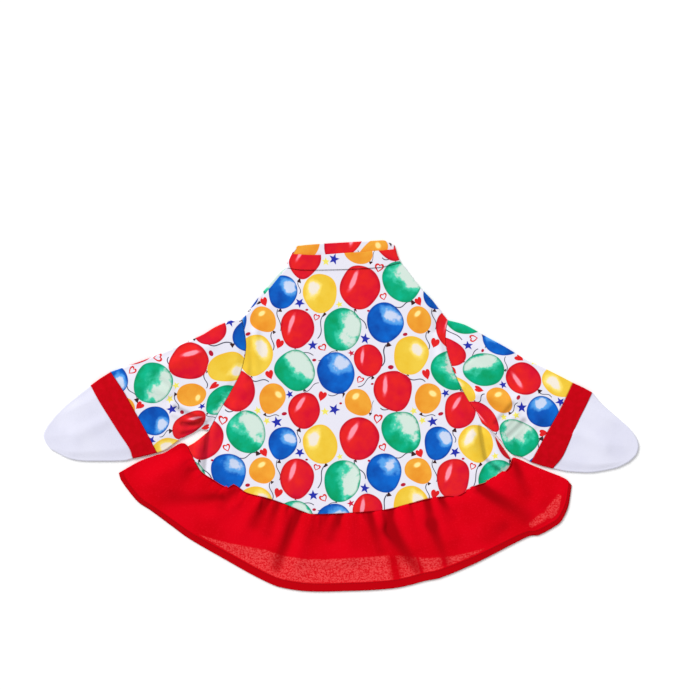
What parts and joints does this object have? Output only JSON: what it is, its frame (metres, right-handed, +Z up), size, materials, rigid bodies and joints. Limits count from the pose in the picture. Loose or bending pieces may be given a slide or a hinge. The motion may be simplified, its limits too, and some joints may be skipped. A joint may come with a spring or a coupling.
{
  "type": "party dress",
  "caption": "Costume party dress laid flat: balloon print body and sleeves, mock neck, red cuffs, wing-shaped white mitts and a gathered red ruffle, longer in front.",
  "frame": {"origin": "on the surface the dress lies on, under the middle of its bounding box", "axes": "+X to the right of the dress as the picture shows it, from mitt to mitt; +Y from the hem towards the neck; +Z up, out of the front"},
  "size_m": [0.6799, 0.4013, 0.0079],
  "materials": {
    "printed_knit": "smooth knit printed with a tossed balloon repeat in red, green, blue, yellow and orange",
    "red_knit": "matt red knit band",
    "red_crepe": "thin red crepe with a fine grain, slightly see-through in one layer",
    "white_felt": "soft matt white brushed cloth"
  },
  "bodies": {
    "root": {"dress_front": "printed_knit", "dress_back": "printed_knit", "neck_band": "printed_knit", "sleeve_left": "printed_knit", "sleeve_right": "printed_knit", "cuff_left": "red_knit", "cuff_right": "red_knit", "wing_mitt_left": "white_felt", "wing_mitt_right": "white_felt", "ruffle_front": "red_crepe", "ruffle_back": "red_crepe"}
  },
  "joints": []
}
